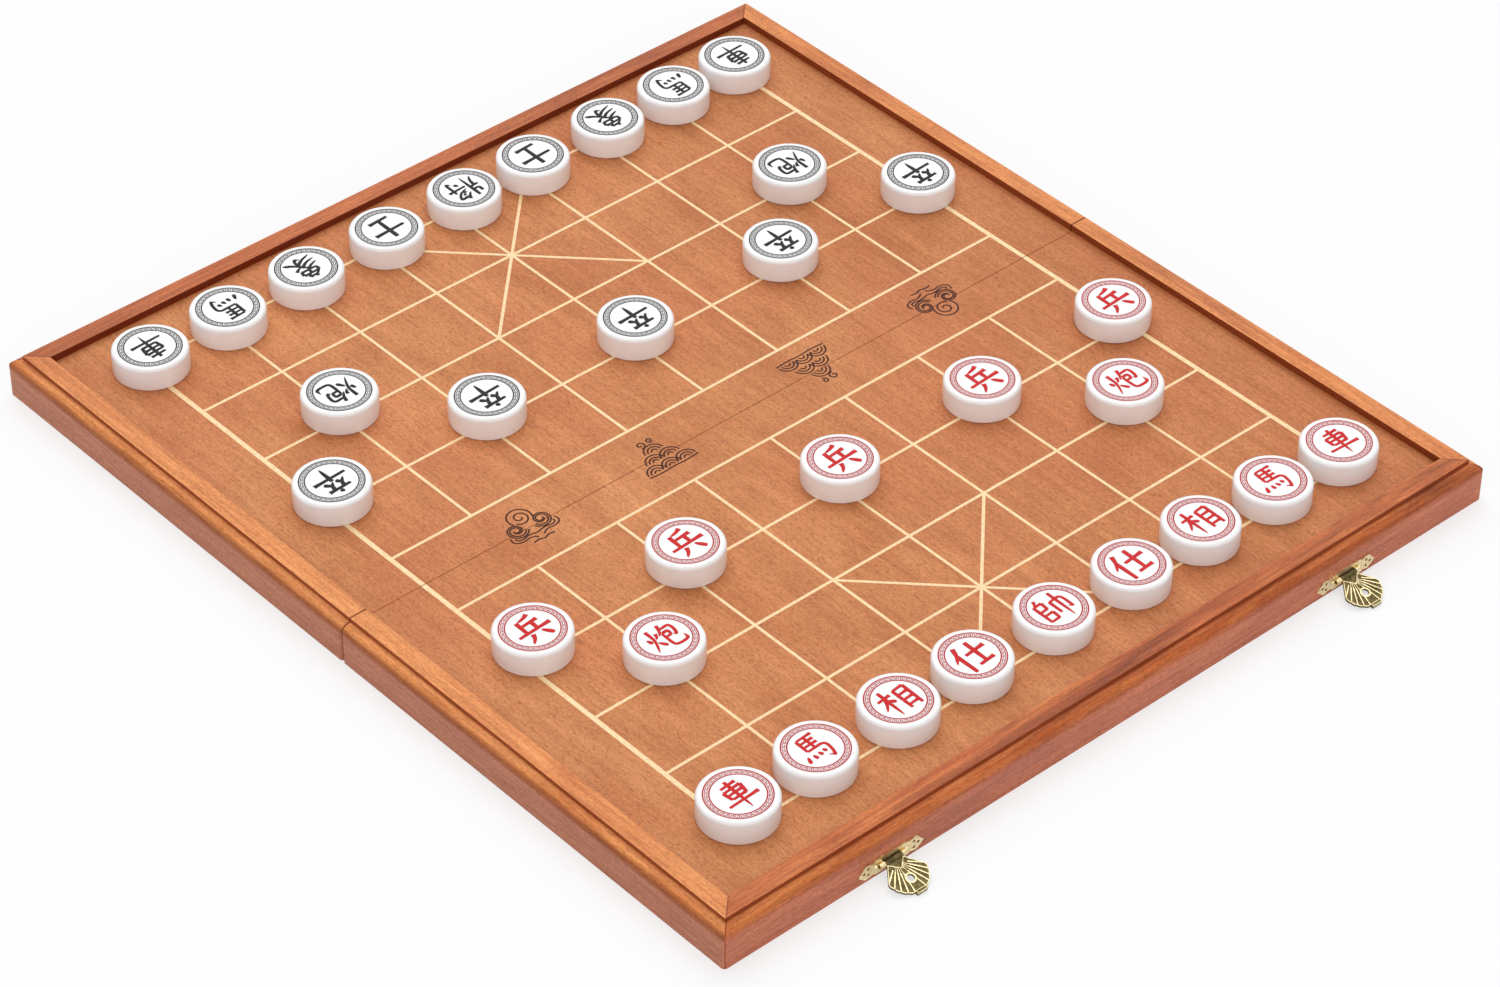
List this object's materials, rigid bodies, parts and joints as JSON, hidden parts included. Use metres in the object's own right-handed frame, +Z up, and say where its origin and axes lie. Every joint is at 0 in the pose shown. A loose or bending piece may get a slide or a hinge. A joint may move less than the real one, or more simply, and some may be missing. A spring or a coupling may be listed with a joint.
{
  "type": "xiangqi board box",
  "caption": "Folding wooden xiangqi board box, open flat as the board, with a cream grid, brass hasps on the front edge and white round pieces set out to play.",
  "frame": {"origin": "middle of the footprint of the open board with its hasps and strike knobs, at the lowest point, the undersides of the hinge barrels", "axes": "+X along the front edge that carries the hasps, +Y from the front tray across the seam to the back tray, +Z up"},
  "size_m": [0.36, 0.4156, 0.0251],
  "materials": {
    "rail_wood": "satin varnish, reddish brown",
    "board_veneer": "satin veneer, grain front to back",
    "line_paint": "cream printed line",
    "antique_brass": "antiqued, dark in the hollows and bright on the raised edges",
    "hinge_brass": "plain, lightly tarnished",
    "piece_acrylic": "polished white with printed ring and rank mark",
    "printed_red": "red printing ink on the pieces",
    "printed_black": "black printing ink on the pieces",
    "burnt_line": "fine burnt outlines along the river"
  },
  "bodies": {
    "front_tray": {"front_end_rail": "rail_wood", "front_left_rail": "rail_wood", "front_right_rail": "rail_wood", "front_seam_rail": "rail_wood", "front_board_panel": "board_veneer", "front_line_layer": "line_paint", "hinge_leaves_front": "hinge_brass", "hinge_pins": "hinge_brass", "hinge_screws_front": "hinge_brass", "hasp_plate_left": "antique_brass", "hasp_plate_right": "antique_brass", "hasp_pin_left": "antique_brass", "hasp_pin_right": "antique_brass", "hasp_nails": "antique_brass"},
    "back_tray": {"back_end_rail": "rail_wood", "back_left_rail": "rail_wood", "back_right_rail": "rail_wood", "back_seam_rail": "rail_wood", "back_board_panel": "board_veneer", "back_line_layer": "line_paint", "hinge_leaves_back": "hinge_brass", "hinge_screws_back": "hinge_brass", "strike_plate_left": "antique_brass", "strike_plate_right": "antique_brass", "strike_nails": "antique_brass"},
    "hasp_flap_left": {"hasp_flap_left": "antique_brass"},
    "hasp_flap_right": {"hasp_flap_right": "antique_brass"},
    "red_general": {"red_general": "piece_acrylic"},
    "red_advisor_left": {"red_advisor_left": "piece_acrylic"},
    "red_advisor_right": {"red_advisor_right": "piece_acrylic"},
    "red_elephant_left": {"red_elephant_left": "piece_acrylic"},
    "red_elephant_right": {"red_elephant_right": "piece_acrylic"},
    "red_horse_left": {"red_horse_left": "piece_acrylic"},
    "red_horse_right": {"red_horse_right": "piece_acrylic"},
    "red_chariot_left": {"red_chariot_left": "piece_acrylic"},
    "red_chariot_right": {"red_chariot_right": "piece_acrylic"},
    "red_cannon_left": {"red_cannon_left": "piece_acrylic"},
    "red_cannon_right": {"red_cannon_right": "piece_acrylic"},
    "red_soldier_1": {"red_soldier_1": "piece_acrylic"},
    "red_soldier_2": {"red_soldier_2": "piece_acrylic"},
    "red_soldier_3": {"red_soldier_3": "piece_acrylic"},
    "red_soldier_4": {"red_soldier_4": "piece_acrylic"},
    "red_soldier_5": {"red_soldier_5": "piece_acrylic"},
    "black_general": {"black_general": "piece_acrylic"},
    "black_advisor_left": {"black_advisor_left": "piece_acrylic"},
    "black_advisor_right": {"black_advisor_right": "piece_acrylic"},
    "black_elephant_left": {"black_elephant_left": "piece_acrylic"},
    "black_elephant_right": {"black_elephant_right": "piece_acrylic"},
    "black_horse_left": {"black_horse_left": "piece_acrylic"},
    "black_horse_right": {"black_horse_right": "piece_acrylic"},
    "black_chariot_left": {"black_chariot_left": "piece_acrylic"},
    "black_chariot_right": {"black_chariot_right": "piece_acrylic"},
    "black_cannon_left": {"black_cannon_left": "piece_acrylic"},
    "black_cannon_right": {"black_cannon_right": "piece_acrylic"},
    "black_soldier_1": {"black_soldier_1": "piece_acrylic"},
    "black_soldier_2": {"black_soldier_2": "piece_acrylic"},
    "black_soldier_3": {"black_soldier_3": "piece_acrylic"},
    "black_soldier_4": {"black_soldier_4": "piece_acrylic"},
    "black_soldier_5": {"black_soldier_5": "piece_acrylic"}
  },
  "joints": [
    {"name": "board_fold", "type": "hinge", "parent": "front_tray", "child": "back_tray", "pos_m": [0, 0.00688, 0.0012], "axis": [-1, 0, 0], "range_deg": [0, 180]},
    {"name": "hasp_left_swing", "type": "hinge", "parent": "front_tray", "child": "hasp_flap_left", "pos_m": [-0.1082, -0.19292, 0.0062], "axis": [1, 0, 0], "range_deg": [-107, 73]},
    {"name": "hasp_right_swing", "type": "hinge", "parent": "front_tray", "child": "hasp_flap_right", "pos_m": [0.1082, -0.19292, 0.0062], "axis": [1, 0, 0], "range_deg": [-107, 73]},
    {"name": "lift_red_general", "type": "slide", "parent": "front_tray", "child": "red_general", "axis": [0, 0, 1], "range_m": [0, 0.03]},
    {"name": "lift_red_advisor_left", "type": "slide", "parent": "front_tray", "child": "red_advisor_left", "axis": [0, 0, 1], "range_m": [0, 0.03]},
    {"name": "lift_red_advisor_right", "type": "slide", "parent": "front_tray", "child": "red_advisor_right", "axis": [0, 0, 1], "range_m": [0, 0.03]},
    {"name": "lift_red_elephant_left", "type": "slide", "parent": "front_tray", "child": "red_elephant_left", "axis": [0, 0, 1], "range_m": [0, 0.03]},
    {"name": "lift_red_elephant_right", "type": "slide", "parent": "front_tray", "child": "red_elephant_right", "axis": [0, 0, 1], "range_m": [0, 0.03]},
    {"name": "lift_red_horse_left", "type": "slide", "parent": "front_tray", "child": "red_horse_left", "axis": [0, 0, 1], "range_m": [0, 0.03]},
    {"name": "lift_red_horse_right", "type": "slide", "parent": "front_tray", "child": "red_horse_right", "axis": [0, 0, 1], "range_m": [0, 0.03]},
    {"name": "lift_red_chariot_left", "type": "slide", "parent": "front_tray", "child": "red_chariot_left", "axis": [0, 0, 1], "range_m": [0, 0.03]},
    {"name": "lift_red_chariot_right", "type": "slide", "parent": "front_tray", "child": "red_chariot_right", "axis": [0, 0, 1], "range_m": [0, 0.03]},
    {"name": "lift_red_cannon_left", "type": "slide", "parent": "front_tray", "child": "red_cannon_left", "axis": [0, 0, 1], "range_m": [0, 0.03]},
    {"name": "lift_red_cannon_right", "type": "slide", "parent": "front_tray", "child": "red_cannon_right", "axis": [0, 0, 1], "range_m": [0, 0.03]},
    {"name": "lift_red_soldier_1", "type": "slide", "parent": "front_tray", "child": "red_soldier_1", "axis": [0, 0, 1], "range_m": [0, 0.03]},
    {"name": "lift_red_soldier_2", "type": "slide", "parent": "front_tray", "child": "red_soldier_2", "axis": [0, 0, 1], "range_m": [0, 0.03]},
    {"name": "lift_red_soldier_3", "type": "slide", "parent": "front_tray", "child": "red_soldier_3", "axis": [0, 0, 1], "range_m": [0, 0.03]},
    {"name": "lift_red_soldier_4", "type": "slide", "parent": "front_tray", "child": "red_soldier_4", "axis": [0, 0, 1], "range_m": [0, 0.03]},
    {"name": "lift_red_soldier_5", "type": "slide", "parent": "front_tray", "child": "red_soldier_5", "axis": [0, 0, 1], "range_m": [0, 0.03]},
    {"name": "lift_black_general", "type": "slide", "parent": "back_tray", "child": "black_general", "axis": [0, 0, 1], "range_m": [0, 0.03]},
    {"name": "lift_black_advisor_left", "type": "slide", "parent": "back_tray", "child": "black_advisor_left", "axis": [0, 0, 1], "range_m": [0, 0.03]},
    {"name": "lift_black_advisor_right", "type": "slide", "parent": "back_tray", "child": "black_advisor_right", "axis": [0, 0, 1], "range_m": [0, 0.03]},
    {"name": "lift_black_elephant_left", "type": "slide", "parent": "back_tray", "child": "black_elephant_left", "axis": [0, 0, 1], "range_m": [0, 0.03]},
    {"name": "lift_black_elephant_right", "type": "slide", "parent": "back_tray", "child": "black_elephant_right", "axis": [0, 0, 1], "range_m": [0, 0.03]},
    {"name": "lift_black_horse_left", "type": "slide", "parent": "back_tray", "child": "black_horse_left", "axis": [0, 0, 1], "range_m": [0, 0.03]},
    {"name": "lift_black_horse_right", "type": "slide", "parent": "back_tray", "child": "black_horse_right", "axis": [0, 0, 1], "range_m": [0, 0.03]},
    {"name": "lift_black_chariot_left", "type": "slide", "parent": "back_tray", "child": "black_chariot_left", "axis": [0, 0, 1], "range_m": [0, 0.03]},
    {"name": "lift_black_chariot_right", "type": "slide", "parent": "back_tray", "child": "black_chariot_right", "axis": [0, 0, 1], "range_m": [0, 0.03]},
    {"name": "lift_black_cannon_left", "type": "slide", "parent": "back_tray", "child": "black_cannon_left", "axis": [0, 0, 1], "range_m": [0, 0.03]},
    {"name": "lift_black_cannon_right", "type": "slide", "parent": "back_tray", "child": "black_cannon_right", "axis": [0, 0, 1], "range_m": [0, 0.03]},
    {"name": "lift_black_soldier_1", "type": "slide", "parent": "back_tray", "child": "black_soldier_1", "axis": [0, 0, 1], "range_m": [0, 0.03]},
    {"name": "lift_black_soldier_2", "type": "slide", "parent": "back_tray", "child": "black_soldier_2", "axis": [0, 0, 1], "range_m": [0, 0.03]},
    {"name": "lift_black_soldier_3", "type": "slide", "parent": "back_tray", "child": "black_soldier_3", "axis": [0, 0, 1], "range_m": [0, 0.03]},
    {"name": "lift_black_soldier_4", "type": "slide", "parent": "back_tray", "child": "black_soldier_4", "axis": [0, 0, 1], "range_m": [0, 0.03]},
    {"name": "lift_black_soldier_5", "type": "slide", "parent": "back_tray", "child": "black_soldier_5", "axis": [0, 0, 1], "range_m": [0, 0.03]}
  ]
}
